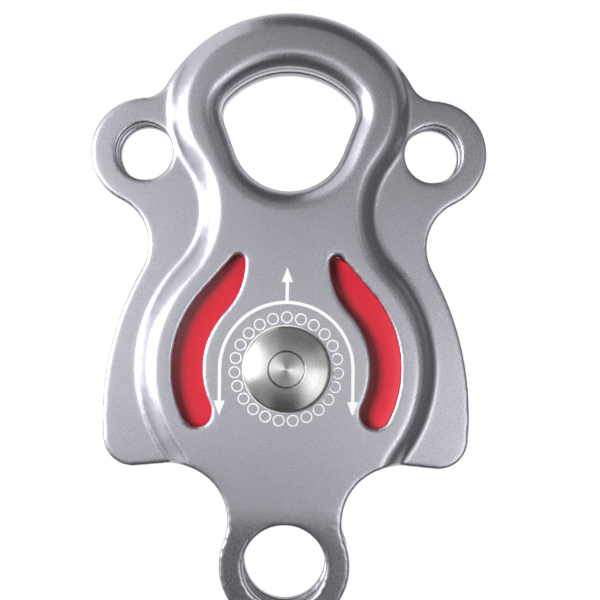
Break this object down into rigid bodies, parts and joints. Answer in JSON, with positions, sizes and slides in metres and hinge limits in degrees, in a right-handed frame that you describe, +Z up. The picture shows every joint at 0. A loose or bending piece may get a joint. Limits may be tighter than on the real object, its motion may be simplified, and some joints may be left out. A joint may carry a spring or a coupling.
{
  "type": "rope pulley",
  "caption": "Swing-cheek rope pulley with a ball-bearing sheave between two pressed side plates that carry a rolled top eye, two ear holes and a lower ring.",
  "frame": {"origin": "centre of the sheave, on the axle's axis half way between the two plates", "axes": "+Z up to the top eye, Y along the axle with the front plate on the -Y side, +X to the right as seen from the front"},
  "size_m": [0.1332, 0.0378, 0.2078],
  "materials": {
    "plate_metal": "satin, blasted and clear anodised",
    "turned_steel": "turned, with fine circular marks",
    "washer_plastic": "plain acetal",
    "red_metal": "red anodised",
    "spring_steel": "dark spring steel",
    "bearing_steel": "ground and polished",
    "cage_plastic": "moulded nylon",
    "seal_rubber": "moulded"
  },
  "bodies": {
    "rear_side": {"rear_plate": "plate_metal", "axle": "turned_steel", "front_axle_cap": "turned_steel", "rear_axle_cap": "turned_steel", "front_cap_washer": "washer_plastic", "rear_cap_washer": "washer_plastic", "front_collar": "turned_steel", "rear_collar": "turned_steel", "bearing_spacer": "turned_steel", "front_inner_ring": "bearing_steel", "rear_inner_ring": "bearing_steel"},
    "front_side": {"front_plate": "plate_metal"},
    "sheave_set": {"sheave": "red_metal", "front_outer_ring": "bearing_steel", "rear_outer_ring": "bearing_steel", "front_outer_seal": "seal_rubber", "front_inner_seal": "seal_rubber", "rear_outer_seal": "seal_rubber", "rear_inner_seal": "seal_rubber", "front_circlip": "spring_steel", "rear_circlip": "spring_steel"},
    "front_ball_set": {"front_balls": "bearing_steel", "front_cage": "cage_plastic"},
    "rear_ball_set": {"rear_balls": "bearing_steel", "rear_cage": "cage_plastic"}
  },
  "joints": [
    {"name": "front_plate_swing", "type": "hinge", "parent": "rear_side", "child": "front_side", "pos_m": [0, 0, 0], "axis": [0, 1, 0], "continuous": true},
    {"name": "sheave_spin", "type": "hinge", "parent": "rear_side", "child": "sheave_set", "pos_m": [0, 0, 0], "axis": [0, 1, 0], "continuous": true},
    {"name": "front_balls_roll", "type": "hinge", "parent": "rear_side", "child": "front_ball_set", "pos_m": [0, 0, 0], "axis": [0, 1, 0], "continuous": true},
    {"name": "rear_balls_roll", "type": "hinge", "parent": "rear_side", "child": "rear_ball_set", "pos_m": [0, 0, 0], "axis": [0, 1, 0], "continuous": true}
  ],
  "couplings": [
    {"joint": "front_balls_roll", "follows": "sheave_spin", "ratio": 0.5561},
    {"joint": "rear_balls_roll", "follows": "sheave_spin", "ratio": 0.5561}
  ]
}
